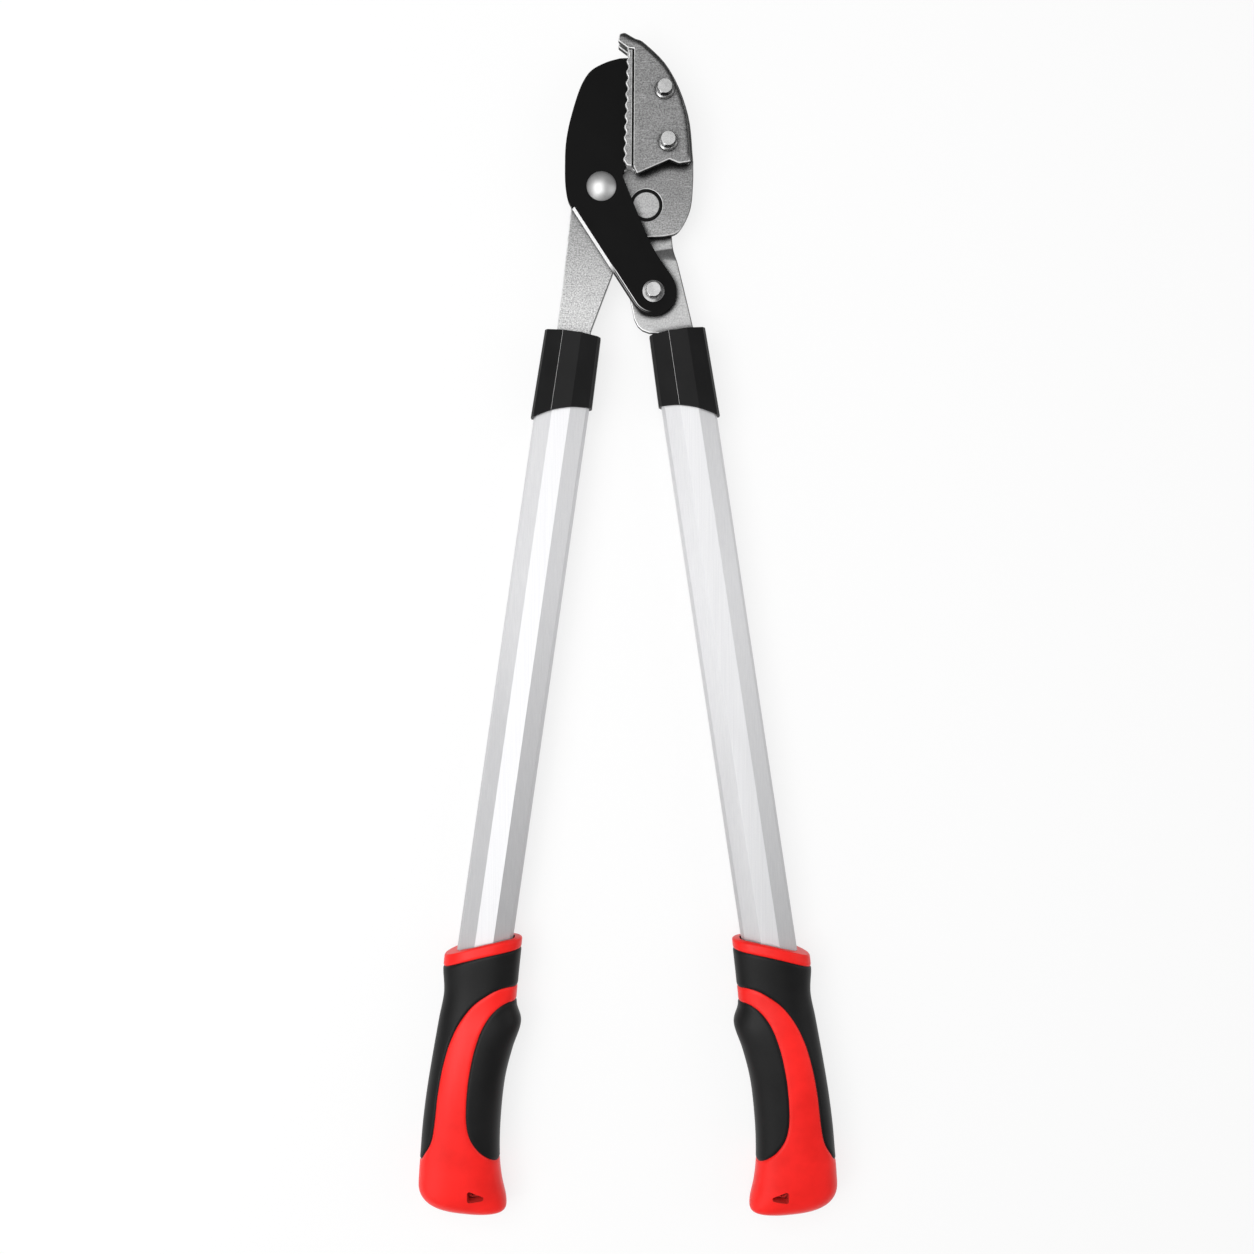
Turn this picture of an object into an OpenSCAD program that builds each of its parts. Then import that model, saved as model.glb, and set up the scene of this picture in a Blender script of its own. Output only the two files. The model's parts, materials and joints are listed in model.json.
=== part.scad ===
// Anvil lopper, lying on its back and closed: +X to the right, +Y towards the blade, +Z up from the floor.
// Head dimensions are measured from a datum just under the blade pivot, handle dimensions from the tube's
// datum along its axis.

/* [Linkage] */
// Blade pivot, above the head's datum
blade_pivot_rise = 1.8; // [1:0.1:2.5]
// Handle pivot, to the right of the blade pivot
handle_pivot_x = 29; // [26:0.5:32]
// Handle pivot, below the head's datum
handle_pivot_drop = 9; // [8:0.5:11]
// Drive bolt, to the right of the blade pivot
drive_x = 33.5; // [32:0.5:35]
// Drive bolt, below the head's datum
drive_drop = 66; // [65:0.5:68]
// Swing of the right handle from closed to open, in degrees
handle_swing = 60; // [60:1:62]
// Swing of the blade over the same travel, in degrees
blade_swing = 36; // [34:1:36]

/* [Jaw] */
// Thickness of the stamped jaw plate and of the tangs
plate_t = 5; // [4:0.25:6]
// Height of the hook above the head's datum
hook_top = 99.8; // [96:0.2:101]
// Reach of the jaw's back to the right of the blade pivot
jaw_reach = 59.5; // [58:0.5:62]
// Thickness of the anvil bar between plate and cover
anvil_t = 4.8; // [4.6:0.1:5.6]
// Thickness of the anvil's cover plate
cover_t = 4; // [3:0.25:5]
// Pitch of the serrations on the anvil
tooth_pitch = 7; // [5:0.25:9]
// Depth of the serrations
tooth_depth = 1.3; // [0.8:0.1:1.6]
// Gap between the serrated rib and the cover
rib_gap = 0.8; // [0.4:0.1:1.2]

/* [Blade] */
// Thickness of the blade
blade_t = 4; // [3:0.1:4.2]
// Thickness of the bearing washers
washer_t = 0.5; // [0.4:0.05:0.5]
// Distance of the blade's top corner below the top of the hook
blade_clear = 15.4; // [15:0.1:18]
// Width of the ground bevel behind the cutting edge
bevel_w = 9; // [5:0.5:12]
// Thickness left at the cutting edge
edge_t = 0.6; // [0.3:0.1:1.2]
// Radius of the blade's tail round the drive bolt
tail_r = 15; // [14:0.2:16]
// Chamfer along the lower edge of the blade's front
blade_chamfer = 1.8; // [0.6:0.1:2]

/* [Pivots and fasteners] */
// Shank diameter of the blade rivet
blade_rivet_d = 9; // [7:0.5:10]
// Diameter of its dome
dome_d = 19.5; // [17:0.5:22]
// Height of its dome
dome_h = 4.5; // [3.5:0.25:5.5]
// Shank diameter of the handle rivet
handle_rivet_d = 10; // [8:0.5:11]
// Diameter of its flush head
flush_d = 17.4; // [16:0.2:18]
// Width of the ring gap round the flush head
flush_gap = 1.6; // [0.8:0.1:1.8]
// Thickness of the flush head
flush_t = 3; // [2.5:0.25:3.5]
// Height of the rivets' heads behind the plate
back_head_t = 3; // [2:0.25:4]
// Diameter of the rivets' heads behind the plate
back_head_d = 18; // [16:0.5:20]
// Shank diameter of the anvil bolts
anvil_bolt_d = 6; // [5:0.5:7]
// Shank diameter of the drive bolt
drive_bolt_d = 6; // [5:0.5:7]
// Outer diameter of the bush on the drive bolt
bush_d = 8; // [7.5:0.25:9]
// Flange diameter of the anvil bolts
anvil_flange_d = 12.4; // [11:0.2:14]
// Flange diameter of the drive bolt
drive_flange_d = 14; // [12:0.2:15]
// Thickness of the bolts' flanges
flange_t = 1.5; // [1:0.25:2]
// Height of the bolts' hex heads above the flange
hex_h = 4.5; // [3.5:0.25:6]
// Width across flats of the bolts' heads and nuts
hex_af = 9; // [8:0.25:10]
// Height of the nuts
nut_h = 5; // [4:0.25:6]
// Radial clearance of pieces that turn on a shank
running = 0.05; // [0.02:0.01:0.09]
// Clearance of the bush in the drive slot, each side
slot_play = 0.25; // [0.15:0.05:0.4]

/* [Right tang] */
// Radius of the tang's round end about the handle pivot
tang_end_r = 16.5; // [14:0.5:18]
// Distance from the handle pivot to the start of the joggle
joggle_start = 28.7; // [28.5:0.1:30]
// Length of the joggle's slope
joggle_run = 10.3; // [8:0.1:10.5]

/* [Handles] */
// Gap along the head between the blade's tail and the collars
tail_gap = 11; // [8:0.2:14]
// Left tube's axis at the datum, from the blade pivot
left_handle_x = -26; // [-27:0.1:-25]
// Right tube's axis at the datum, from the blade pivot
right_handle_x = 56.8; // [56:0.1:58]
// Rise of the right tube's datum over the left one's
right_lift = 1.3; // [0:0.1:2]
// Splay of the left handle, in degrees
left_splay = 8.2; // [7.7:0.05:8.7]
// Splay of the right handle, in degrees
right_splay = 8.55; // [8.1:0.05:9]
// Width of the tube
tube_w = 34.6; // [33:0.2:36]
// Depth of the tube
tube_depth = 22; // [20:0.5:24]
// Width of the flat along the middle of the tube
tube_flat = 11.5; // [8:0.5:14]
// Wall of the tube
tube_wall = 1.6; // [1.2:0.1:2.2]
// Distance of the tube's upper end above the datum
tube_start = 46; // [40:1:47]
// Distance of the tube's lower end below the datum
tube_end = 470; // [420:5:475]
// Wall of the plug beside the tang
plug_side = 3.7; // [2:0.1:5]
// Depth of the tang and its plug below the datum
tang_end = 40; // [20:1:60]
// Clearance of the pieces that slide into one another
slide_gap = 0.15; // [0.1:0.05:0.3]
// Diameter of the cross rivets through tube and tang
cross_rivet_d = 5; // [4:0.5:6]

/* [Collar] */
// Distance of the collar's upper end above the datum
collar_top = 52; // [50:0.5:53]
// Wall of the collar at its upper end
collar_wall = 0.9; // [0.8:0.1:2]
// Wall of the collar at its lower end
collar_flare = 2; // [1.5:0.1:3.5]
// Slant of the collar's lower end, in degrees
collar_slant = 17; // [0:1:20]
// Rise of the collar's lower end in its middle
collar_arch = 2; // [0:0.25:4]

/* [Grip] */
// Distance of the grip's rim below the datum
grip_start = 348; // [330:1:365]
// Length of the grip along its axis
grip_len = 174; // [165:1:190]
// Extra distance of the right grip down its tube
right_grip_drop = 2.1; // [0:0.1:4]
// Width of the grip behind its rim
grip_w = 48; // [45:0.5:51]
// Cover of the grip over the tube's flat, at its fullest
grip_cover = 6.5; // [5:0.25:8]
// Height of the red rim
rim_h = 7.4; // [6:0.2:10]
// Slant of the rim, in degrees
rim_slant = 21; // [10:1:22]
// Rise of the rim in its middle, against its sides
rim_arch = 2; // [0:0.25:4]
// Thickness of the soft panels
soft_t = 2; // [1.2:0.1:2.5]
// Diameter of the hang hole
hang_d = 5; // [4:0.25:5.5]

/* [Hidden] */

$fn = 48;
// Overlap of cutting solids past the faces that they cut
past = 1;
// Steps of an arc at a rounded corner, and of a curve between two of its points
arc_steps = 6;
curve_steps = 5;

// Pivots in the plane of the head
blade_pivot = [0, blade_pivot_rise];
handle_pivot = [handle_pivot_x, -handle_pivot_drop];
drive_pin = [drive_x, -drive_drop];
blade_ratio = blade_swing / handle_swing;

// Datum of the handles below the head's, and the width of the tangs inside the tubes
handle_drop = drive_drop + tail_r + tail_gap + collar_top;
function datum_drop(side) = side < 0 ? handle_drop : handle_drop - right_lift;
tang_w = tube_w - 2 * (tube_wall + plug_side);

// Levels, from the front face of the jaw plate
blade_z = washer_t;
blade_front = blade_z + blade_t;
cover_z = anvil_t;
cover_front = cover_z + cover_t;
low_tang_z = -2 * plate_t - washer_t;
low_tang_front = low_tang_z + plate_t;
mid_z = -plate_t / 2;

// Turns a point about the origin
function turn(p, a) = [p.x * cos(a) - p.y * sin(a), p.x * sin(a) + p.y * cos(a)];

function unit(v) = v / norm(v);

// Arc that rounds the corner at b, between a and c
function corner(a, b, c, r) =
    let (
        to_a = unit(a - b),
        to_c = unit(c - b),
        half = acos(max(-1, min(1, to_a * to_c))) / 2,
        centre = b + unit(to_a + to_c) * r / sin(half),
        from = b + to_a * r / tan(half) - centre,
        to = b + to_c * r / tan(half) - centre,
        sweep = (180 - 2 * half) * sign(from.x * to.y - from.y * to.x)
    )
    [for (i = [0 : arc_steps]) centre + turn(from, sweep * i / arc_steps)];

// Outline through corners written as [x, y, radius], where radius 0 keeps the corner sharp
function rounded(pts) =
    let (n = len(pts))
    [
        for (i = [0 : n - 1])
            let (
                a = pts[(i + n - 1) % n],
                b = pts[i],
                c = pts[(i + 1) % n]
            )
            each b[2] > 0
                ? corner([a.x, a.y], [b.x, b.y], [c.x, c.y], b[2])
                : [[b.x, b.y]]
    ];

// Smooth curve through points of any dimension
function between(a, b, c, d, t) =
    0.5 * (2 * b + (c - a) * t + (2 * a - 5 * b + 4 * c - d) * t * t + (3 * b - a - 3 * c + d) * t * t * t);
function curve(pts, steps = curve_steps) =
    let (n = len(pts))
    [
        for (i = [0 : n - 2])
            let (
                a = i == 0 ? 2 * pts[0] - pts[1] : pts[i - 1],
                d = i == n - 2 ? 2 * pts[n - 1] - pts[n - 2] : pts[i + 2]
            )
            each [for (k = [0 : steps - 1]) between(a, pts[i], pts[i + 1], d, k / steps)],
        pts[n - 1]
    ];

// Solid through rings of points that all have the same count
module loft(rings) {
    n = len(rings[0]);
    last = len(rings) - 1;
    sides = [
        for (k = [0 : last - 1])
            for (i = [0 : n - 1])
                let (
                    a = k * n + i,
                    b = k * n + (i + 1) % n
                )
                each [[a, b, b + n], [a, b + n, a + n]]
    ];
    cap = [
        for (i = [0 : n / 2 - 1])
            each [[i, i + 1, n - 1 - i], [i, n - 1 - i, n - i]]
    ];
    low_cap = [for (f = cap) if (f.x != f.z && f.y != f.z && f.z < n) [f.x, f.z, f.y]];
    high_cap = [for (f = cap) if (f.x != f.z && f.y != f.z && f.z < n) f + last * n * [1, 1, 1]];
    polyhedron(points = [for (r = rings) each r], faces = concat(sides, low_cap, high_cap));
}

// Flat plate of a plan outline, from one level up
module plate(z, t) {
    translate([0, 0, z])
        linear_extrude(t)
            children();
}

// Round bar or bore at a point of the plan, between two levels
module bar(p, d, z0, z1) {
    translate([p.x, p.y, z0])
        cylinder(d = d, h = z1 - z0);
}

module hexagon(p, z, h) {
    translate([p.x, p.y, z])
        cylinder(d = hex_corner_d, h = h, $fn = 6);
}

// Places a handle's pieces: X is across the tube towards the other handle, Y runs up the tube
module handle_frame(side) {
    translate([side < 0 ? left_handle_x : right_handle_x, -datum_drop(side), mid_z])
        mirror([side < 0 ? 0 : 1, 0, 0])
            rotate(side < 0 ? -left_splay : -right_splay)
                children();
}

// The same as a function, for a point across and down the tube
function handle_point(side, p) =
    let (q = turn([p.x, -p.y], side < 0 ? -left_splay : -right_splay))
    [(side < 0 ? left_handle_x : right_handle_x) - side * q.x, q.y - datum_drop(side)];

// Grip: outer edge, inner edge, share of the depth and share of the rim's arch at stations along it,
// with the edges as [across, down the grip from its rim]
grip_depth = tube_depth + 2 * grip_cover;
half_depth = grip_depth / 2;
grip_scale = grip_len / 175;
grip_wide = grip_w / 48;
rim_rise = tan(rim_slant);
grip_stations = [
    [[-25.2, 8.8], [23.2, -8.4], 0.88, 1],
    [[-24.6, 18.8], [23.6, 0.6], 0.89, 1],
    [[-21.9, 34], [24.4, 20], 0.85, 0.5],
    [[-22.6, 50], [25.6, 35], 0.86, 0],
    [[-23, 62], [30.1, 47], 0.93, 0],
    [[-23.5, 79], [27, 65], 0.98, 0],
    [[-23.8, 99], [25, 86], 1, 0],
    [[-23.4, 120], [26, 112], 0.99, 0],
    [[-22.3, 138], [28.6, 134], 0.97, 0],
    [[-21.4, 152], [32.2, 149], 0.94, 0],
    [[-20, 163], [37, 162], 0.88, 0],
    [[-15.5, 169.5], [37.2, 168.5], 0.74, 0],
    [[-8, 173.4], [32, 171.8], 0.5, 0],
    [[2, 175], [24, 173.3], 0.2, 0]
];
function station_edges(s) = [
    s[0].x * grip_wide,
    grip_start + s[0].y * grip_scale,
    s[1].x * grip_wide,
    grip_start + s[1].y * grip_scale,
    s[2] * half_depth,
    s[3] * rim_arch
];
grip_sections = curve([for (s = grip_stations) station_edges(s)], 2);
grip_sides = 24;
// How square the grip's section is: 2 is an ellipse
grip_power = 2.3;
function bulge(c) = sign(c) * pow(abs(c), 2 / grip_power);
function grip_ring(s, inset) =
    let (
        outer = [s[0], -s[1]],
        inner = [s[2], -s[3]],
        centre = (outer + inner) / 2,
        reach = norm(inner - outer) / 2,
        across = unit(inner - outer) * max(reach - inset, 1),
        depth = max(s[4] - inset, 1)
    )
    [
        for (i = [0 : grip_sides - 1])
            let (
                a = -360 * i / grip_sides,
                side = bulge(cos(a)),
                flat = centre + across * side
            )
            [flat.x, flat.y + s[5] * (1 - side * side), depth * bulge(sin(a))]
    ];

// Boundaries of the red band on the grip, as [across, down the grip from its rim]
band_upper = curve([
    [44, 21], [24.2, 22.8], [18.4, 23.3], [11.6, 26], [4.9, 31], [-0.8, 36.6], [-5.2, 43.2], [-9, 50.9],
    [-11.6, 58.8], [-13.6, 67.7], [-15.2, 82], [-15.6, 98], [-15.1, 112], [-15, 122], [-15.8, 129],
    [-18.4, 136], [-23.7, 145.5], [-40, 156]
], 2);
band_lower = curve([
    [44, 28], [25.4, 32.2], [20.8, 33], [16.1, 35.9], [11.6, 40.9], [8.3, 46.9], [6.1, 53.4], [4.6, 61],
    [3.5, 70], [3, 82], [3.4, 94], [4.6, 106], [6.4, 114.5], [9.4, 121.5], [13.8, 127], [19.4, 131.6],
    [28.6, 136.2], [44, 139]
], 2);
function on_grip(p) = [p.x * grip_wide, -grip_start - p.y * grip_scale];

// How far each grip sits down its tube from the common place
function grip_drop(side) = side < 0 ? 0 : right_grip_drop;

// Where the whole part lies: centred on the floor that it rests on
function grip_edge(side, x, down) = handle_point(side, [x, down + grip_drop(side)]);
left_edge = min([for (s = grip_sections) grip_edge(-1, s[0], s[1]).x]);
right_edge = max([for (s = grip_sections) grip_edge(1, s[0], s[1]).x]);
low_edge = min([for (side = [-1, 1], s = grip_sections) grip_edge(side, s[2], s[3]).y]);
part_shift = [-(left_edge + right_edge) / 2, -(hook_top + low_edge) / 2, half_depth - mid_z];

module in_part_frame() {
    translate(part_shift)
        children();
}

// Bolts of the anvil, at the share of the hook's height where they sit
anvil_bolt_points = [[jaw_reach - 18.8, hook_top - 37.3], [jaw_reach - 16.7, hook_top - 70.7]];

// Line of the anvil: teeth tips, and the landing of the cutting edge behind them
anvil_low = [14, 17.6];
anvil_high = [16.4, hook_top - 15.2];
blade_top = hook_top - blade_clear;
// Landing of the edge behind the teeth tips, and the gap between edge and anvil when closed
landing = 2;
closing_gap = 0.3;
// Lower hook edge, shared by plate and cover
hook_tip = [10.9, hook_top - 3.6];
hook_root = [17.3, hook_top - 10.8];

// Back of the jaw from the hook to the corner below the handle pivot, stepped inwards by inset
function jaw_back(inset) = curve([
    [22 - inset * 0.2, hook_top - 2.6 - inset],
    [29 - inset * 0.4, hook_top - 5.9 - inset],
    [jaw_reach - 14.3 - inset * 0.8, hook_top - 22.6 - inset * 0.8],
    [jaw_reach - 3.3 - inset, hook_top - 50.4],
    [jaw_reach - inset, 19]
]);

// Nose of the hook, from its root round its tip to its top
function hook_nose(inset) =
    let (
        line = rounded([
            [hook_tip.x, hook_tip.y - 2.4, 1],
            [hook_tip.x + 0.6, hook_tip.y + 1.8, 2],
            [15, hook_top - inset * 0.4, 3],
            [24 - inset * 0.2, hook_top - 3.4 - inset, 0],
            [hook_root.x, hook_root.y, 0]
        ])
    )
    concat([hook_root], [for (i = [0 : 3 * (arc_steps + 1) - 1]) line[i]]);

// Stamped plate: jaw, arm under the blade and left tang
module jaw_outline() {
    polygon(concat(
        [anvil_low],
        hook_nose(0),
        jaw_back(0),
        curve([
            [jaw_reach, 19], [jaw_reach - 0.2, 4.6], [jaw_reach - 2, -11.6], [jaw_reach - 9.1, -25.2],
            [jaw_reach - 17.5, -28.8], [29, -29.7]
        ]),
        curve([[29, -29.7], [18, -32], [10.5, -41], [7.4, -53]]),
        [left_shoulder_inner],
        tang_tail(-1),
        [left_shoulder_outer, [-25.2, -61.5]],
        curve([[-20, -12.2], [-19, 0], [-12, 12.5], [0, 15], [8, 12.3], [12.8, 11.5], [16, 13.8]])
    ));
}

// Where each tang meets its collar, and its narrow tail inside the tube
left_shoulder_inner = handle_point(-1, [11.2, -collar_top - 3]);
left_shoulder_outer = handle_point(-1, [-10.6, -collar_top - 2]);
right_shoulder_inner = [[26, 11.5], [24.6, 7.6], [22, 4.6], [18, 2.4], [12.5, 1.2]];
right_shoulder_outer = handle_point(1, [-10.6, -collar_top - 2]);
function tang_tail(side) = [
    for (p = [[1, -collar_top + 2], [1, tang_end], [-1, tang_end], [-1, -collar_top + 2]])
        handle_point(side, [p.x * tang_w / 2, p.y])
];

module jaw_plate() {
    color([0.62, 0.62, 0.63])
    in_part_frame()
    difference() {
        plate(-plate_t, plate_t)
            jaw_outline();
        bar(blade_pivot, blade_rivet_d, -plate_t - past, past);
        bar(handle_pivot, handle_rivet_d, -plate_t - past, past);
        bar(handle_pivot, flush_d + 2 * flush_gap, -flush_t - flush_drop, past);
        for (p = anvil_bolt_points)
            bar(p, anvil_bolt_d, -plate_t - past, past);
        handle_frame(-1)
            cross_holes();
    }
}

// Anvil bar clamped under the cover, with the serrated rib that stands up beside the cover
rib_low = [19.7, 13.4];
rib_high = [20.2, hook_top - 11.5];
function serrated(from, to) =
    let (
        run = norm(to - from),
        along = (to - from) / run,
        inward = [along.y, -along.x],
        steps = ceil(run / tooth_pitch) * 8
    )
    [
        for (i = [0 : steps])
            let (s = run * i / steps)
            from + along * s + inward * tooth_depth * pow(sin(180 * s / tooth_pitch), 2)
    ];

module anvil_strip() {
    rib_top = cover_front;
    color([0.72, 0.72, 0.73])
    in_part_frame()
    difference() {
        union() {
            plate(0, anvil_t)
                polygon(concat(
                    [
                        rib_low + [2.5, -2.5],
                        [anvil_low.x + landing, anvil_low.y - 2],
                        [anvil_high.x + landing, anvil_high.y],
                        hook_root + [3.2, 2]
                    ],
                    jaw_back(cover_step + 0.5),
                    [cover_heel + [-0.6, 0.8], cover_knee + [0, 0.8]]
                ));
            plate(0, rib_top)
                polygon(concat(
                    [rib_low, [anvil_low.x + landing + 0.6, anvil_low.y - 4]],
                    [anvil_low + [landing, 0], anvil_high + [landing, 0], hook_root + [1.5, -1], rib_high]
                ));
            plate(cover_z, rib_top - cover_z)
                polygon(concat(
                    [rib_low + [0, 0.6], [anvil_low.x + 2.6, anvil_low.y - 4]],
                    serrated(anvil_low, anvil_high),
                    [hook_root + [-0.4, -1], rib_high]
                ));
        }
        for (p = anvil_bolt_points)
            bar(p, anvil_bolt_d, -past, anvil_t + past);
    }
}

// Cover plate with the front half of the forked hook, a step inside the plate's back
cover_step = 2;
cover_heel = [jaw_reach - 2.2, 16.4];
cover_knee = [jaw_reach - 15.9, 17.8];
cover_corner = [22.8, 8.7];
module anvil_cover() {
    color([0.66, 0.66, 0.67])
    in_part_frame()
    difference() {
        plate(cover_z, cover_t)
            polygon(concat(
                [rib_high + [rib_gap, 0.5]],
                hook_nose(cover_step),
                jaw_back(cover_step),
                rounded([
                    [jaw_reach - cover_step, 18.8, 0], [cover_heel.x, cover_heel.y, 1.8],
                    [jaw_reach - 9.5, 15.2, 4], [cover_knee.x, cover_knee.y, 1],
                    [cover_corner.x, cover_corner.y, 0.6],
                    [rib_low.x + rib_gap, rib_low.y + 0.4, 0]
                ])
            ));
        for (p = anvil_bolt_points)
            bar(p, anvil_bolt_d, cover_z - past, cover_front + past);
    }
}

// Hex flange bolt that stands on a level, with its shank down to another
flange_edge = 0.6 * flange_t;
hex_corner_d = hex_af / cos(30);
hex_crown_d = 0.98 * hex_af;
module flange_bolt(p, shank_d, flange_d, z, z_end) {
    bar(p, shank_d, z_end, z + past);
    translate([p.x, p.y, z])
        cylinder(d = flange_d, h = flange_edge);
    translate([p.x, p.y, z + flange_edge])
        cylinder(d1 = flange_d, d2 = hex_corner_d, h = flange_t - flange_edge);
    intersection() {
        hexagon(p, z + flange_t / 2, hex_h + flange_t / 2);
        translate([p.x, p.y, z])
            cylinder(d1 = hex_corner_d + 3 * hex_h, d2 = hex_crown_d, h = hex_h + flange_t);
    }
}

module hex_nut(p, bore_d, z) {
    difference() {
        hexagon(p, z, nut_h);
        bar(p, bore_d, z - past, z + nut_h + past);
    }
}

bolt_end = 1.5;
module anvil_bolts() {
    color("silver")
    in_part_frame()
    for (p = anvil_bolt_points)
        flange_bolt(p, anvil_bolt_d, anvil_flange_d, cover_front, -plate_t - nut_h - bolt_end);
}

module anvil_nuts() {
    color("silver")
    in_part_frame()
    for (p = anvil_bolt_points)
        hex_nut(p, anvil_bolt_d, -plate_t - nut_h);
}

// Domed rivet that the blade turns on
module blade_rivet() {
    dome_r = (pow(dome_d / 2, 2) + dome_h * dome_h) / (2 * dome_h);
    color("gainsboro")
    in_part_frame() {
        bar(blade_pivot, blade_rivet_d, -plate_t - past, blade_front + past);
        intersection() {
            translate([blade_pivot.x, blade_pivot.y, blade_front + dome_h - dome_r])
                sphere(r = dome_r, $fn = 64);
            bar(blade_pivot, dome_d, blade_front, blade_front + dome_h + past);
        }
        bar(blade_pivot, back_head_d, -plate_t - back_head_t, -plate_t);
    }
}

// Flush rivet that the right tang turns on
flush_drop = 0.2;
module handle_rivet() {
    color("gainsboro")
    in_part_frame() {
        bar(handle_pivot, handle_rivet_d, low_tang_z - past, -flush_drop - past);
        bar(handle_pivot, flush_d, -flush_t - flush_drop, -flush_drop);
        bar(handle_pivot, back_head_d, low_tang_z - back_head_t, low_tang_z);
    }
}

module ring_washer(p, outer_d, bore_d, z, t) {
    difference() {
        bar(p, outer_d, z, z + t);
        bar(p, bore_d, z - past, z + t + past);
    }
}

// Outer diameter of the bearing washers
bearing_d = back_head_d + 4;
module blade_washer() {
    color("dimgray")
    in_part_frame()
    ring_washer(blade_pivot, bearing_d, blade_rivet_d + 2 * running, 0, washer_t);
}

module handle_washer() {
    color("dimgray")
    in_part_frame()
    ring_washer(handle_pivot, bearing_d, handle_rivet_d + 2 * running, low_tang_front, washer_t);
}

// Blade: broad back, straight cutting edge, and a tail that runs down to the drive bolt
edge_high = anvil_high + [landing - closing_gap, 0];
edge_low = [anvil_low.x + landing - closing_gap, 13];
// Straight lower edge, from the back of the blade to where the tail's round begins
back_low = [-19, -12.4];
tail_from = 210;
tail_low = drive_pin + tail_r * [cos(tail_from), sin(tail_from)];
module blade_outline() {
    polygon(concat(
        [edge_low, [edge_high.x, blade_top]],
        curve([
            [12, blade_top - 0.2], [3.8, blade_top - 2.5], [-5.2, blade_top - 7], [-10.4, blade_top - 12.8],
            [-15, blade_top - 22.7], [-20.3, 43.7], [-22.9, 29.5], [-23.5, 16], [-23.3, 3], [-21.8, -6.5],
            back_low
        ]),
        [for (a = [tail_from : 15 : tail_from + 180]) drive_pin + tail_r * [cos(a), sin(a)]],
        curve([[44.5, -55], [41, -50.2], [35.4, -41.6], [30.2, -31.5], [26.2, -22.6], [19, -4.8], [13.2, 9.6]])
    ));
}

module blade() {
    color([0.09, 0.09, 0.09])
    in_part_frame()
    difference() {
        plate(blade_z, blade_t)
            blade_outline();
        bar(blade_pivot, blade_rivet_d + 2 * running, blade_z - past, blade_front + past);
        bar(drive_pin, drive_bolt_d, blade_z - past, blade_front + past);
        // Chamfer along the lower edge
        translate([back_low.x, back_low.y, blade_front])
            rotate(atan2(tail_low.y - back_low.y, tail_low.x - back_low.x))
                rotate([90, 0, 90])
                    linear_extrude(norm(tail_low - back_low))
                        polygon([[-past, -blade_chamfer - past], [-past, past], [blade_chamfer + past, past]]);
        // Bevel ground on the back of the cutting edge
        translate([edge_low.x, edge_low.y, blade_z])
            rotate(-atan2(edge_high.x - edge_low.x, edge_high.y - edge_low.y))
                rotate([-90, 0, 0])
                    translate([0, 0, -past])
                        linear_extrude(blade_top)
                            polygon([
                                [past, past], [past, edge_t - blade_t], [0, edge_t - blade_t], [-bevel_w, past]
                            ]);
    }
}

// Drive bolt through the blade's tail, with its bush, washer and nut
module drive_bolt() {
    color("silver")
    in_part_frame()
    flange_bolt(drive_pin, drive_bolt_d, drive_flange_d, blade_front, drive_back - washer_h - nut_h - bolt_end);
}
// Level where the bush ends, clear of the joggle behind it, and the washer under it
bush_reach = 1.5;
drive_back = -plate_t - bush_reach;
washer_h = 1.2;
drive_washer_d = bush_d + 3;

module drive_bush() {
    color("darkgoldenrod")
    in_part_frame()
    ring_washer(drive_pin, bush_d, drive_bolt_d, drive_back, blade_z - drive_back);
}

module drive_washer() {
    color("silver")
    in_part_frame()
    ring_washer(drive_pin, drive_washer_d, drive_bolt_d, drive_back - washer_h, washer_h);
}

module drive_nut() {
    color("silver")
    in_part_frame()
    hex_nut(drive_pin, drive_bolt_d, drive_back - washer_h - nut_h);
}

// Place of the drive pin on the right tang when the handle has swung by an angle
function pin_on_tang(a) =
    handle_pivot + turn(blade_pivot + turn(drive_pin - blade_pivot, a * blade_ratio) - handle_pivot, -a);

// Slot that the bush runs in, so that blade and handle keep one ratio
slot_steps = 8;
function half_round(p, r, from) = [for (a = [0 : 15 : 180]) p + turn([r, 0], from + a)];
module drive_slot() {
    r = bush_d / 2 + slot_play;
    pins = [for (i = [0 : slot_steps]) pin_on_tang(handle_swing * i / slot_steps)];
    heading = [
        for (i = [0 : slot_steps])
            let (d = pins[min(i + 1, slot_steps)] - pins[max(i - 1, 0)])
            atan2(d.y, d.x)
    ];
    polygon(concat(
        half_round(pins[0], r, heading[0] + 90),
        [for (i = [1 : slot_steps - 1]) pins[i] + turn([0, -r], heading[i])],
        half_round(pins[slot_steps], r, heading[slot_steps] - 90),
        [for (i = [slot_steps - 1 : -1 : 1]) pins[i] + turn([0, r], heading[i])]
    ));
}

// Right tang: round end under the jaw plate, joggle up to the blade's level, and shoulder at the collar
module right_tang_outline() {
    low = [for (a = [0 : 15 : 180]) handle_pivot + tang_end_r * [cos(a), sin(a)]];
    polygon(concat(
        low,
        [[12.6, -22]],
        curve([[13.5, -40], [16.5, -60], [19, -72], [21, -82]]),
        [for (p = right_shoulder_inner) handle_point(1, [p.x, -collar_top - p.y])],
        tang_tail(1),
        [right_shoulder_outer],
        curve([[53, -61.5], [49.8, -48.5], [46.6, -36], [45.5, -24]])
    ));
}

module joggle_profile() {
    front = joggle_start + joggle_run;
    far = handle_drop + tang_end;
    near = -tang_end_r - past;
    lift = plate_t + washer_t;
    lean = plate_t * tan(atan2(lift, joggle_run) / 2);
    polygon([
        [near, low_tang_z], [near, low_tang_front], [joggle_start, low_tang_front], [front, 0], [far, 0],
        [far, -plate_t], [front + lean, -plate_t], [joggle_start + lean, low_tang_z]
    ]);
}

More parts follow.
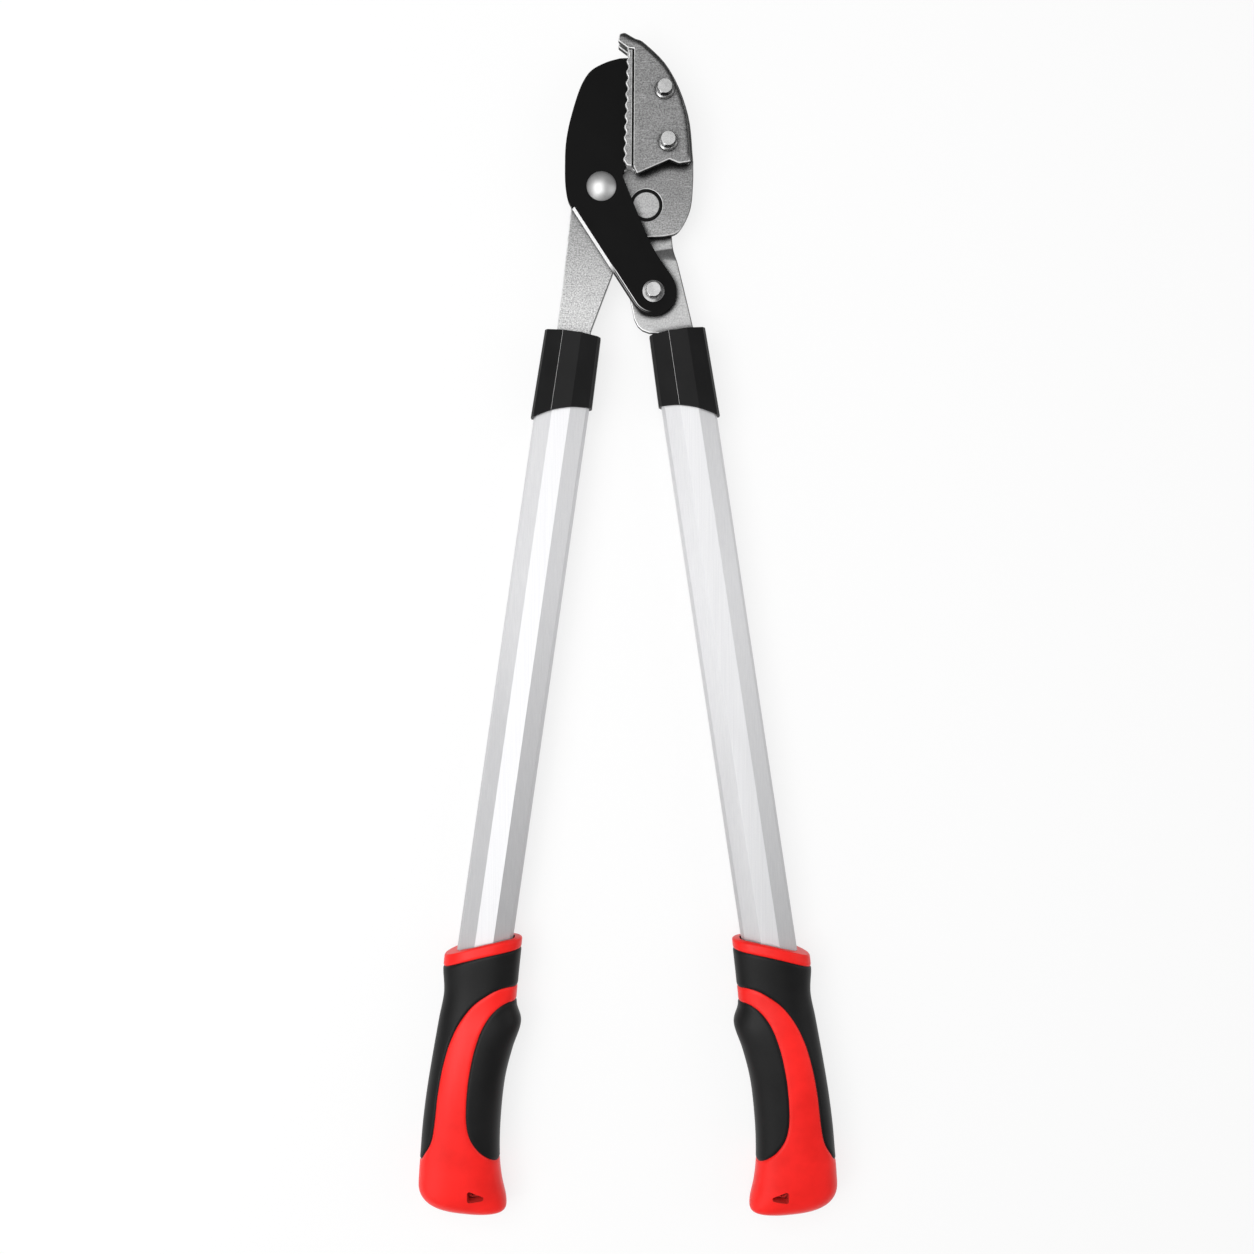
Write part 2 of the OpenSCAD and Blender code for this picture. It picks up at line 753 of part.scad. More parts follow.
module right_tang() {
    color([0.7, 0.7, 0.71])
    in_part_frame()
    difference() {
        intersection() {
            plate(low_tang_z, 2 * plate_t + washer_t)
                right_tang_outline();
            translate([handle_pivot.x, handle_pivot.y, 0])
                rotate(right_splay)
                    rotate([90, 0, -90])
                        translate([0, 0, -handle_drop])
                            linear_extrude(2 * handle_drop)
                                joggle_profile();
        }
        bar(handle_pivot, handle_rivet_d + 2 * running, low_tang_z - past, past);
        plate(low_tang_z - past, -low_tang_z + 2 * past)
            drive_slot();
        handle_frame(1)
            cross_holes();
    }
}

// Narrow facets at the tube's edges: their width, and their ends as shares of the half depth
edge_w = 1.8;
edge_top = 0.56;
edge_side = 0.27;
// Half outline of the tube's section, grown by a wall
function tube_corners(grow) =
    let (
        w = tube_w / 2 + grow,
        d = tube_depth / 2 + grow,
        f = tube_flat / 2 + grow * 0.25,
        slant_w = w - edge_w,
        slant_d = d * edge_top,
        side_d = d * edge_side
    )
    [[f, d], [slant_w, slant_d], [w, side_d], [w, -side_d], [slant_w, -slant_d], [f, -d]];
function tube_section(grow) =
    let (half = tube_corners(grow))
    concat(half, [for (i = [5 : -1 : 0]) [-half[i].x, half[i].y]]);

// Bar of the tube's section along the handle, between two distances down from the datum
module tube_bar(grow, from, to) {
    translate([0, -from, 0])
        rotate([90, 0, 0])
            linear_extrude(to - from)
                polygon(tube_section(grow));
}

cross_rivet_rows = [-36, -18];
module cross_holes() {
    for (u = cross_rivet_rows)
        bar([0, -u], cross_rivet_d, -tube_depth, tube_depth);
}

module tube(side) {
    color([0.8, 0.8, 0.82])
    in_part_frame()
    handle_frame(side)
    difference() {
        tube_bar(0, -tube_start, tube_end);
        tube_bar(-tube_wall, -tube_start - past, tube_end + past);
        cross_holes();
    }
}

module left_tube() {
    tube(-1);
}

module right_tube() {
    tube(1);
}

// Plastic plug that fills the tube's mouth round the tang
module plug(side) {
    color([0.2, 0.2, 0.2])
    in_part_frame()
    handle_frame(side)
    difference() {
        tube_bar(-tube_wall - slide_gap, -tube_start, tang_end);
        translate([-tang_w / 2 - slide_gap, -tang_end - past, -plate_t / 2 - slide_gap])
            cube([tang_w + 2 * slide_gap, tang_end + tube_start + 2 * past, plate_t + 2 * slide_gap]);
        cross_holes();
    }
}

module left_plug() {
    plug(-1);
}

module right_plug() {
    plug(1);
}

module tang_rivets(side) {
    color("silver")
    in_part_frame()
    handle_frame(side)
    for (u = cross_rivet_rows)
        bar([0, -u], cross_rivet_d, -tube_depth / 2, tube_depth / 2);
}

module left_tang_rivets() {
    tang_rivets(-1);
}

module right_tang_rivets() {
    tang_rivets(1);
}

// Collar: closed upper end with a mouth for the tang, flared and slanted lower end
collar_low = 12;
module collar(side) {
    color([0.13, 0.13, 0.13])
    in_part_frame()
    handle_frame(side)
    difference() {
        loft([
            for (end = [[-collar_top, collar_wall], [collar_low, collar_flare]])
                [for (p = tube_section(end[1])) [p.x, -end[0], p.y]]
        ]);
        tube_bar(slide_gap, -tube_start, collar_low + past);
        translate([-tang_w / 2 - slide_gap, tube_start - past, -plate_t / 2 - slide_gap])
            cube([tang_w + 2 * slide_gap, collar_top, plate_t + 2 * slide_gap]);
        translate([0, 0, -tube_w])
            linear_extrude(2 * tube_w)
                polygon(concat(
                    [[tube_w, -2 * tube_w], [-tube_w, -2 * tube_w]],
                    [
                        for (i = [-arch_steps : arch_steps])
                            let (x = tube_w * i / arch_steps)
                            [x, x * tan(collar_slant) + collar_arch * max(0, 1 - pow(2 * x / tube_w, 2))]
                    ]
                ));
    }
}

module left_collar() {
    collar(-1);
}

module right_collar() {
    collar(1);
}

// Grip: one lofted form that the red body and the soft panels share
module grip_form(inset) {
    loft([for (s = grip_sections) grip_ring(s, inset)]);
}

// Region of the soft panels, through the depth of the grip
region_w = 44 * grip_wide;
rim_half = grip_w / 2;
arch_steps = 11;
module soft_region() {
    rim_end = [
        for (i = [-arch_steps : arch_steps])
            let (x = -region_w * i / arch_steps)
            [x, x * rim_rise - grip_start - rim_h + rim_arch * max(0, 1 - pow(x / rim_half, 2))]
    ];
    translate([0, 0, -grip_depth])
        linear_extrude(2 * grip_depth) {
            polygon(concat(
                [for (p = band_upper) on_grip(p)],
                [for (i = [2 * arch_steps : -1 : 0]) rim_end[i]]
            ));
            polygon([for (p = band_lower) on_grip(p)]);
        }
}

module soft_pockets() {
    difference() {
        soft_region();
        grip_form(soft_t);
    }
}

// Hang hole through the flared end, with a three-cornered mouth on each face
hang_point = [15.6, 158.4];
mouth_depth = 11;
mouth_corners = [[-3.8, 4.8, 1.5], [-2.4, -4.2, 1.5], [9.4, -0.2, 1.5]];
module hang_hole() {
    p = on_grip(hang_point);
    bar(p, hang_d, -grip_depth, grip_depth);
    for (face = [-1, 1])
        translate([p.x, p.y, face * half_depth - mouth_depth])
            linear_extrude(2 * mouth_depth)
                polygon(rounded(mouth_corners));
}

// Mouth of the grip round the tube
mouth_gap = 1;
rim_recess = 5;
module grip_bore() {
    tube_bar(slide_gap, grip_start - tube_w, tube_end + slide_gap);
    tube_bar(mouth_gap, grip_start - tube_w, grip_start + rim_recess);
}

module down_tube(side) {
    translate([0, -grip_drop(side), 0])
        children();
}

module grip_body(side) {
    color([0.93, 0.13, 0.12])
    in_part_frame()
    handle_frame(side)
    difference() {
        down_tube(side)
            difference() {
                grip_form(0);
                soft_pockets();
                hang_hole();
            }
        grip_bore();
    }
}

module left_grip_body() {
    grip_body(-1);
}

module right_grip_body() {
    grip_body(1);
}

module grip_overmould(side) {
    color([0.15, 0.15, 0.15])
    in_part_frame()
    handle_frame(side)
    down_tube(side)
    intersection() {
        grip_form(0);
        soft_pockets();
    }
}

module left_grip_overmould() {
    grip_overmould(-1);
}

module right_grip_overmould() {
    grip_overmould(1);
}

jaw_plate();
anvil_strip();
anvil_cover();
anvil_bolts();
anvil_nuts();
blade_rivet();
handle_rivet();
left_tube();
left_plug();
left_tang_rivets();
left_collar();
left_grip_body();
left_grip_overmould();
blade();
blade_washer();
drive_bolt();
drive_bush();
drive_washer();
drive_nut();
right_tang();
handle_washer();
right_tube();
right_plug();
right_tang_rivets();
right_collar();
right_grip_body();
right_grip_overmould();
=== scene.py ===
"""Anvil lopper, closed and lying on its back, seen from straight above its front face."""
import json
import math
from collections import namedtuple

import bmesh
import bpy
import numpy as np
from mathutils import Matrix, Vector


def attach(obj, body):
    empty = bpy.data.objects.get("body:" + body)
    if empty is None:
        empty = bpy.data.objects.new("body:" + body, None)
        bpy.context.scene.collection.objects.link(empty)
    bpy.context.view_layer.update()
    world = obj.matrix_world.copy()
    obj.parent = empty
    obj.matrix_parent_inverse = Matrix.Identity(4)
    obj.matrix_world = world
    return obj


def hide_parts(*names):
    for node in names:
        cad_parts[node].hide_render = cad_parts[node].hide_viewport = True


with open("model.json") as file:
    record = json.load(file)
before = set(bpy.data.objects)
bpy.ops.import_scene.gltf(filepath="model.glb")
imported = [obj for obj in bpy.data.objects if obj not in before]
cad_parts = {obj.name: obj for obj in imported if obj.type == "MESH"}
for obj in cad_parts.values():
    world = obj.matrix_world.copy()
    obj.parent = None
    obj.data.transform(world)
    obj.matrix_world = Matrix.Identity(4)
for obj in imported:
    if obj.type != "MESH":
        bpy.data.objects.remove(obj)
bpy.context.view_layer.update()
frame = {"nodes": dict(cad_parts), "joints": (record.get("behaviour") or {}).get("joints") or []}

# Lengths are in mm, unless a name or a docstring says metres
MM = 0.001
nodes = frame["nodes"]
scene = bpy.context.scene
joint_at = {j["name"]: np.array(j["pos_m"]) / MM for j in frame["joints"]}
HANDLE_PIVOT = joint_at["handle_pivot"]
# Datum of the head, a little under the blade pivot
PIVOT_RISE = 1.8
DATUM = joint_at["blade_pivot"] - (0, PIVOT_RISE, 0)
# Middle plane of the handles
MID_Z = 17.5


def from_datum(x, y):
    """A place on the head, in the part's plan."""
    return DATUM[:2] + (x, y)


# Lower edge of the blade: straight from its back to its tail, then round the drive bolt
BACK_LOW = from_datum(-19, -12.4)
DRIVE_PIN = from_datum(33.5, -66)
TAIL_R = 15
TAIL_FROM = math.radians(210)
TAIL_LOW = DRIVE_PIN + TAIL_R * np.array([math.cos(TAIL_FROM), math.sin(TAIL_FROM)])
EDGE_LENGTH = np.linalg.norm(TAIL_LOW - BACK_LOW)
EDGE_ALONG = (TAIL_LOW - BACK_LOW) / EDGE_LENGTH
EDGE_INWARD = np.array([-EDGE_ALONG[1], EDGE_ALONG[0]])


# Camera over the photo's centre
CAMERA_AT = (-0.57, -0.86)
CAMERA_HEIGHT = 845
camera_data = bpy.data.cameras.new("camera")
camera_data.sensor_width = 36
camera_data.lens = 37.32
camera = bpy.data.objects.new("camera", camera_data)
camera.location = Vector((*CAMERA_AT, MID_Z + CAMERA_HEIGHT)) * MM
scene.collection.objects.link(camera)
scene.camera = camera
scene.view_settings.view_transform = "Standard"


# Helpers for materials
def rgba(colour):
    """Four channels from a grey tone or from three channels."""
    return (*colour, 1) if hasattr(colour, "__len__") else (colour, colour, colour, 1)


class Nodes:
    """A material's node tree, with short calls for the nodes used here. Texture scales are per metre."""

    def __init__(self, name, **constants):
        self.material = bpy.data.materials.new(name)
        self.material.use_nodes = True
        self.tree = self.material.node_tree
        self.shader = self.tree.nodes["Principled BSDF"]
        self.coords = self.tree.nodes.new("ShaderNodeTexCoord").outputs
        self.hold(self.shader, constants)

    def hold(self, node, constants):
        """Sets constants on the inputs that they name."""
        for key, value in constants.items():
            node.inputs[key.replace("_", " ")].default_value = value

    def add(self, kind, **constants):
        """New node with constants on its inputs."""
        node = self.tree.nodes.new("ShaderNode" + kind)
        self.hold(node, constants)
        return node

    def link(self, output, socket):
        """Links an output to a socket."""
        self.tree.links.new(output, socket)

    def feed(self, value, socket):
        """Links an output to a socket, or sets a number, tone or colour on it."""
        if hasattr(value, "is_output"):
            self.link(value, socket)
        else:
            socket.default_value = rgba(value) if socket.type == "RGBA" else value

    def math(self, kind, a, b=0.0):
        """One step of arithmetic."""
        node = self.add("Math")
        node.operation = kind
        self.feed(a, node.inputs[0])
        self.feed(b, node.inputs[1])
        return node.outputs["Value"]

    def mix(self, kind, share, a, b):
        """Two colours blended by a share."""
        node = self.add("Mix")
        node.data_type = "RGBA"
        node.blend_type = kind
        for value, socket in ((share, node.inputs[0]), (a, node.inputs[6]), (b, node.inputs[7])):
            self.feed(value, socket)
        return node.outputs[2]

    def times(self, base, shade, share=1.0):
        """A colour darkened by a shade."""
        return self.mix("MULTIPLY", share, base, shade)

    def over(self, base, colour, share):
        """A colour laid over a base."""
        return self.mix("MIX", share, base, colour)

    def span(self, value, low, high, from_low=0.0, from_high=1.0):
        """A range of values mapped to low and high, and held at its ends."""
        node = self.add("MapRange", From_Min=from_low, From_Max=from_high, To_Min=low, To_Max=high)
        self.link(value, node.inputs["Value"])
        return node.outputs["Result"]

    def ramp(self, value, low, high):
        """Colour ramp between two stops, each a place and a tone or colour."""
        node = self.add("ValToRGB")
        for element, (at, colour) in zip(node.color_ramp.elements, (low, high)):
            element.position = at
            element.color = rgba(colour)
        self.link(value, node.inputs["Fac"])
        return node.outputs["Color"]

    def stretch(self, scale, turn):
        """Object coordinates, turned about Z and scaled."""
        node = self.add("Mapping", Scale=scale, Rotation=(0, 0, turn))
        self.link(self.coords["Object"], node.inputs["Vector"])
        return node.outputs["Vector"]

    def noise(self, scale, detail, rough, vector=None):
        """Cloudy noise over the object, or over stretched coordinates."""
        node = self.add("TexNoise", Scale=scale, Detail=detail, Roughness=rough)
        self.link(vector or self.coords["Object"], node.inputs["Vector"])
        return node.outputs["Fac"]

    def cells(self, scale):
        """Distance to the nearest of scattered points, for pits."""
        node = self.add("TexVoronoi", Scale=scale)
        self.link(self.coords["Object"], node.inputs["Vector"])
        return node.outputs["Distance"]

    def axis(self, name):
        """One object coordinate, in metres."""
        node = self.add("SeparateXYZ")
        self.link(self.coords["Object"], node.inputs["Vector"])
        return node.outputs[name]

    def along(self, start, direction):
        """Distance from a start along a direction of the plan, in metres."""
        parts = [self.math("MULTIPLY", self.axis(a), d) for a, d in zip("XY", direction)]
        return self.math("SUBTRACT", self.math("ADD", *parts), start @ direction * MM)

    def distance(self, centre):
        """Distance from a centre in the plan, in metres."""
        parts = [self.math("SUBTRACT", self.axis(a), c * MM) for a, c in zip("XY", centre)]
        squares = [self.math("MULTIPLY", part, part) for part in parts]
        return self.math("SQRT", self.math("ADD", *squares))

    def looks(self, normal, direction, low, high):
        """0 to 1 as a normal turns towards a direction, between two cosines."""
        node = self.add("VectorMath")
        node.operation = "DOT_PRODUCT"
        self.link(normal, node.inputs[0])
        node.inputs[1].default_value = Vector(direction).normalized()
        return self.span(node.outputs["Value"], 0, 1, low, high)

    def facing(self, direction, low=0.9, high=0.96):
        """1 on faces that look in a direction of the object's own frame, and 0 on others."""
        return self.looks(self.coords["Normal"], direction, low, high)

    def softened(self, radius, samples):
        """Normal over edges that are rounded by a radius."""
        node = self.add("Bevel", Radius=radius * MM)
        node.samples = samples
        return node.outputs["Normal"]

    def rim(self, direction, reach, low, high):
        """1 on the rim inside edges that look in a direction of the object's own frame, within a reach."""
        own = self.add("VectorTransform")
        own.vector_type = "NORMAL"
        own.convert_from = "WORLD"
        own.convert_to = "OBJECT"
        self.link(self.softened(reach, 8), own.inputs["Vector"])
        return self.looks(own.outputs["Vector"], direction, low, high)

    def crevice(self, reach, low, dark_at=0.48, clear_at=0.86):
        """Shade for inner corners within a reach: low in a corner, 1 on an open face."""
        node = self.add("AmbientOcclusion", Distance=reach * MM)
        node.samples = 8
        return self.ramp(node.outputs["AO"], (dark_at, low), (clear_at, 1.0))

    def done(self, colour, roughness, *layers, soft=0.0):
        """The material, with bump layers of height, strength and distance over edges softened by a radius."""
        self.link(colour, self.shader.inputs["Base Color"])
        self.link(roughness, self.shader.inputs["Roughness"])
        normal = self.softened(soft, 6) if soft else None
        for height, strength, distance in layers:
            node = self.add("Bump", Strength=strength, Distance=distance * MM)
            self.link(height, node.inputs["Height"])
            if normal is not None:
                self.link(normal, node.inputs["Normal"])
            normal = node.outputs["Normal"]
        if normal is not None:
            self.link(normal, self.shader.inputs["Normal"])
        return self.material


# Steel of the plates: levels along Y between which its tone changes, the groove beside the rib, and the width
# right of it over which painted corner shade grows
TONE_LEVELS = (205, 278)
GROOVE_X = from_datum(21, 0)[0]
CORNER_SHADE_WIDTH = 4.5
# Ways that the tang's slope, the cover's back and the walls below look, where shade is painted on them
JOGGLE_LOOKS = (0, 0.47, 0.88)
BACK_LOOKS = (0.25, 0.97, 0)
BELOW_LOOKS = (-0.3, -1, 0)


def blasted_steel(name, tone, low_tone=None, contrast=0.4, corner=0.05, soft=0.0, slope_shade=0.0,
                  end_light_and_shade=False, painted_rim_shade=False, painted_shade_below=False):
    """Sandblasted plate: pepper grain, blotches and scratches, lighter towards the handles, and painted
    shade.
    """
    m = Nodes(name, Metallic=0.8)
    grain = m.noise(1000, 3, 0.75)
    pepper = m.noise(1250, 2, 0.6)
    blotch = m.noise(110, 4, 0.6)
    dark_scratch = m.noise(90, 2, 0.5, m.stretch((1, 16, 1), math.radians(38)))
    light_scratch = m.noise(75, 2, 0.5, m.stretch((1, 20, 1), math.radians(-52)))
    base = m.span(m.axis("Y"), low_tone or tone, tone, TONE_LEVELS[0] * MM, TONE_LEVELS[1] * MM)
    base = m.times(base, m.ramp(grain, (0.38, 1 - contrast), (0.62, 1 + contrast)))
    base = m.times(base, m.ramp(pepper, (0.3, 1 - 1.4 * contrast), (0.38, 1.0)))
    base = m.times(base, m.ramp(blotch, (0.3, 0.93), (0.7, 1.05)))
    base = m.times(base, m.ramp(dark_scratch, (0.29, 0.7), (0.37, 1.0)))
    base = m.mix("SCREEN", 1.0, base, m.ramp(light_scratch, (0.61, 0.0), (0.71, 0.12)))
    # Painted shade on the tang's slope, which looks up
    if slope_shade:
        base = m.times(base, 0.25, m.math("MULTIPLY", m.facing(JOGGLE_LOOKS), slope_shade))
    if end_light_and_shade:
        # Painted light on the rib's lower end, and painted shade on the wall under the cover, both on faces
        # that look down
        end_painted_tone = m.span(m.axis("X"), 0.85, 0.01, (GROOVE_X - 0.5) * MM, (GROOVE_X + 0.5) * MM)
        base = m.over(base, end_painted_tone, m.facing((0, -1, 0), 0.6, 0.8))
    # Painted shade on the rim of edges that look up, along the cover's back
    if painted_rim_shade:
        base = m.times(base, 0.04, m.rim(BACK_LOOKS, 5, 0.02, 0.08))
    # Painted shade on walls that look down
    if painted_shade_below:
        base = m.times(base, 0.05, m.facing(BELOW_LOOKS, 0.35, 0.6))
    # Painted shade in corners, at 0.3 of its strength left of the groove and full a little right of it
    corner_shade_share = m.span(m.axis("X"), 0.3, 1.0, GROOVE_X * MM, (GROOVE_X + CORNER_SHADE_WIDTH) * MM)
    base = m.times(base, m.crevice(8, corner, 0.62, 0.8), corner_shade_share)
    return m.done(base, m.span(blotch, 0.44, 0.56), (grain, 0.3, 0.1), (dark_scratch, 0.12, 0.05), soft=soft)


def worn_and_shaded_edge(name, lit_from_lower_left, low=0.5, high=0.85):
    """Broken edge of a stamped piece, worn bright, with painted shade in corners, and optionally painted
    light and shade by the way it looks.
    """
    m = Nodes(name, Metallic=0.5)
    rub = m.noise(260, 4, 0.65)
    base = m.ramp(rub, (0.35, low), (0.65, high))
    # Painted light and shade: the bright tone stays on edges that look down and left, and edges that look up
    # and right are dark
    if lit_from_lower_left:
        base = m.mix("MIX", m.facing((-0.6, -0.8, 0), -0.2, 0.15), 0.04, base)
    # Painted shade in corners
    return m.done(m.times(base, m.crevice(1, 0.6)), m.span(rub, 0.3, 0.45))


# Steel of the bolts: painted light and shade, as tones of the hexagon's sides and the flange's cone by the
# way they look
BOLT_FACET_SHADING = (
    ((-0.866, -0.5, 0), 0.9), ((0, -1, 0), 0.015), ((-0.6, -0.5, 0.62), 0.85), ((0.6, -0.5, 0.62), 0.02),
)


def bright_steel(name, tone, low, high, corner=(3, 0.12), marks=0.1, painted_facets=()):
    """Plated fastener or rivet: sheen between two roughnesses, light handling marks, and painted shade and
    light.
    """
    m = Nodes(name, Metallic=1.0)
    cloud = m.noise(150, 4, 0.6)
    fine = m.noise(1800, 2, 0.6)
    base = m.ramp(cloud, (0.3, tone * (1 - marks)), (0.7, tone * (1 + marks / 2)))
    base = m.times(base, m.ramp(fine, (0.3, 0.85), (0.7, 1.0)), 0.6)
    # Painted shade in corners, such as round the head and on the flange
    base = m.times(base, m.crevice(*corner))
    # Painted light and shade on the sides that look given ways
    for direction, shade in painted_facets:
        base = m.over(base, shade, m.facing(direction, 0.9, 0.97))
    return m.done(base, m.span(cloud, low, high), (cloud, 0.1, 0.1), (fine, 0.12, 0.04))


# Aluminium of the tubes: levels between which painted shade darkens their slanted sides, towards the hands
SLANT_SHADE_LEVELS = (-200, 30)


def tube_metal(name, splay):
    """Satin anodised aluminium, drawn along the tube, with painted shade on its slanted sides towards the
    hands.
    """
    m = Nodes(name, Metallic=0.3, Anisotropic=0.3)
    streak = m.noise(1500, 3, 0.6, m.stretch((1, 0.012, 1), math.radians(splay)))
    fine = m.noise(1300, 2, 0.6)
    base = m.ramp(streak, (0.3, (0.66, 0.66, 0.675)), (0.7, (0.72, 0.72, 0.73)))
    base = m.times(base, m.ramp(fine, (0.3, 0.93), (0.7, 1.0)), 0.5)
    # Painted shade on the slanted sides, deeper towards the hands
    slant = m.span(m.facing((0, 0, 1), 0.93, 0.99), 1, 0)
    slant_shade = m.span(m.axis("Y"), 0.74, 1.0, SLANT_SHADE_LEVELS[0] * MM, SLANT_SHADE_LEVELS[1] * MM)
    base = m.times(base, slant_shade, slant)
    return m.done(base, m.span(streak, 0.36, 0.46), (streak, 0.06, 0.04), (fine, 0.08, 0.03))


# Way that the collars' crease looks, where a highlight is painted along it
CREASE_LOOKS = (-0.225, 0, 0.974)


def moulded(name, colour, low, high, grain, strength, specular, highlight_looks=None):
    """Moulded plastic or rubber with a fine spark-eroded grain, and painted highlights on creases that look
    one way.
    """
    m = Nodes(name, Specular_IOR_Level=specular)
    cloud = m.noise(45, 3, 0.55)
    dark = [c * 0.9 for c in colour]
    light = [min(1, c * 1.08 + 0.002) for c in colour]
    base = m.ramp(cloud, (0.3, dark), (0.7, light))
    # Painted highlight along the crease that looks one way
    if highlight_looks:
        base = m.over(base, 0.7, m.facing(highlight_looks, 0.978, 0.984))
    # Painted shade in corners and holes
    base = m.times(base, m.crevice(1.6, 0.2))
    dents = m.noise(90, 2, 0.5)
    return m.done(base, m.span(cloud, low, high), (dents, 0.05, 0.3), (m.cells(grain), strength, 0.08))


# Blade, along its edge: where the chamfer's painted reflection ends, and where the tail's painted highlights
# begin and fade
REFLECTION_ENDS = (44, 50)
LINES_BEGIN = (45, 50)
LINES_FADE = (74, 84)
LINES_LEFT = 4
# Depth of each painted highlight line inside the edge, half its width, and its strength
TAIL_HIGHLIGHT_LINES = ((1.9, 0.21, 1.0), (0.95, 0.13, 0.45))


def blade_coating():
    """Black coating, with a painted reflection on the lower chamfer and painted highlight lines on the tail.
    """
    m = Nodes("black_coating", Specular_IOR_Level=0.05)
    peel = m.noise(420, 3, 0.6)
    cloud = m.noise(40, 3, 0.6)
    base = m.ramp(cloud, (0.3, (0.0034, 0.0034, 0.0035)), (0.7, 0.005))
    along = m.along(BACK_LOW, EDGE_ALONG)

    def between(places, low, high):
        return m.span(along, low, high, places[0] * MM, places[1] * MM)

    # Painted reflection on the lower chamfer, fading out along the edge
    grain = m.ramp(m.noise(700, 3, 0.6), (0.3, 0.82), (0.7, 1.0))
    chamfer = m.facing((-EDGE_INWARD[0], -EDGE_INWARD[1], 1))
    base = m.over(base, grain, m.math("MULTIPLY", between(REFLECTION_ENDS, 0.95, 0.03), chamfer))

    # Painted highlights: thin light lines along the tail's edge, left of the drive bolt
    from_line = m.along(BACK_LOW, EDGE_INWARD)
    from_round = m.math("SUBTRACT", TAIL_R * MM, m.distance(DRIVE_PIN))
    on_round = between((EDGE_LENGTH - 0.2, EDGE_LENGTH + 0.2), 0, 1)
    on_line = m.math("SUBTRACT", 1, on_round)
    depth = m.math("ADD", m.math("MULTIPLY", from_line, on_line), m.math("MULTIPLY", from_round, on_round))
    shown = m.math("MULTIPLY", between(LINES_BEGIN, 0, 1), between(LINES_FADE, 1, 0))
    left = m.span(m.axis("X"), 1, 0, (DRIVE_PIN[0] - LINES_LEFT) * MM, DRIVE_PIN[0] * MM)
    shown = m.math("MULTIPLY", shown, left)
    for at, half, strength in TAIL_HIGHLIGHT_LINES:
        off = m.math("ABSOLUTE", m.math("SUBTRACT", depth, at * MM))
        line = m.span(off, strength, 0, 0.6 * half * MM, 1.3 * half * MM)
        base = m.over(base, 0.95, m.math("MULTIPLY", line, shown))
    return m.done(base, m.span(cloud, 0.38, 0.5), (peel, 0.12, 0.06))


# Handles: side, place and splay of the tube, its drop under the datum, and the grip's shift along it
Handle = namedtuple("Handle", "side x splay drop shift")
HANDLES = {"left": Handle(-1, -26.0, 8.2, 144.0, 0.0), "right": Handle(1, 56.8, 8.55, 142.7, 2.1)}

# Materials
plate_steel = blasted_steel("blasted_steel", 0.228, 0.46, painted_shade_below=True)
cover_steel = blasted_steel("cover_steel", 0.228, 0.46, painted_rim_shade=True, painted_shade_below=True)
rib_steel = blasted_steel("rib_steel", 0.27, corner=0.6, end_light_and_shade=True)
tang_steel = blasted_steel("tang_steel", 0.41, 0.44, contrast=0.2, soft=1.2, slope_shade=0.66, painted_shade_below=True)
flush_steel = blasted_steel("flush_steel", 0.38, contrast=0.22)
bright_edge = worn_and_shaded_edge("bright_edge", False)
edge_lit_lower_left = worn_and_shaded_edge("edge_lit_lower_left", True)
tang_edge = worn_and_shaded_edge("tang_edge", True, 0.8, 1.0)
rivet_steel = bright_steel("rivet_steel", 0.66, 0.46, 0.54)
bolt_steel = bright_steel("bolt_steel", 0.31, 0.22, 0.32, corner=(5, 0.02), marks=0.3, painted_facets=BOLT_FACET_SHADING)
bronze = bright_steel("bronze", 0.5, 0.3, 0.4)
left_metal = tube_metal("left_tube_metal", HANDLES["left"].splay)
right_metal = tube_metal("right_tube_metal", -HANDLES["right"].splay)
collar_plastic = moulded(
    "collar_plastic", (0.0075, 0.0075, 0.0078), 0.4, 0.5, 900, 0.12, 0.12, highlight_looks=CREASE_LOOKS
)
red_plastic = moulded("red_plastic", (0.93, 0.0165, 0.013), 0.32, 0.4, 1100, 0.06, 0.22)
soft_black = moulded("soft_black", (0.0055, 0.0055, 0.0057), 0.4, 0.5, 800, 0.2, 0.2)
# Painted shade: a darker copy of the red for the walls and floors of the hang hole
hole_shade_red = moulded("hole_shade_red", (0.75, 0.05, 0.042), 0.5, 0.6, 900, 0.06, 0.1)
# Painted shade: near-black for sheets laid where shade falls
shade_black = moulded("shade_black", (0.004, 0.004, 0.004), 0.6, 0.7, 900, 0.1, 0.1)
coating = blade_coating()

MATERIALS = {
    "jaw_plate": plate_steel, "anvil_strip": rib_steel, "anvil_cover": cover_steel, "right_tang": tang_steel,
    "anvil_bolts": bolt_steel, "anvil_nuts": bolt_steel, "drive_bolt": bolt_steel, "drive_nut": bolt_steel,
    "drive_washer": bolt_steel, "left_tang_rivets": bolt_steel, "right_tang_rivets": bolt_steel,
    "blade_washer": bolt_steel, "handle_washer": bolt_steel, "drive_bush": bronze,
    "blade_rivet": rivet_steel, "handle_rivet": flush_steel, "blade": coating,
    "left_tube": left_metal, "right_tube": right_metal,
    "left_plug": collar_plastic, "right_plug": collar_plastic,
    "left_collar": collar_plastic, "right_collar": collar_plastic,
}
# Width of the broken edges, and the smallest angle in degrees that counts as an edge
EDGES = {
    "jaw_plate": (0.6, 30), "anvil_strip": (0.7, 30), "anvil_cover": (0.6, 30), "right_tang": (0.6, 40),
    "blade": (0.35, 30), "anvil_bolts": (0.35, 20), "drive_bolt": (0.35, 20), "anvil_nuts": (0.3, 30),
    "drive_nut": (0.3, 30), "blade_rivet": (0.3, 30), "handle_rivet": (0.4, 30), "drive_washer": (0.2, 30),
    "left_tube": (0.9, 12), "right_tube": (0.9, 12), "left_collar": (1.2, 12), "right_collar": (1.2, 12),
}
# Plates whose edges are broken by the full width everywhere
FULL_WIDTH = ("anvil_strip", "anvil_cover", "jaw_plate", "right_tang")
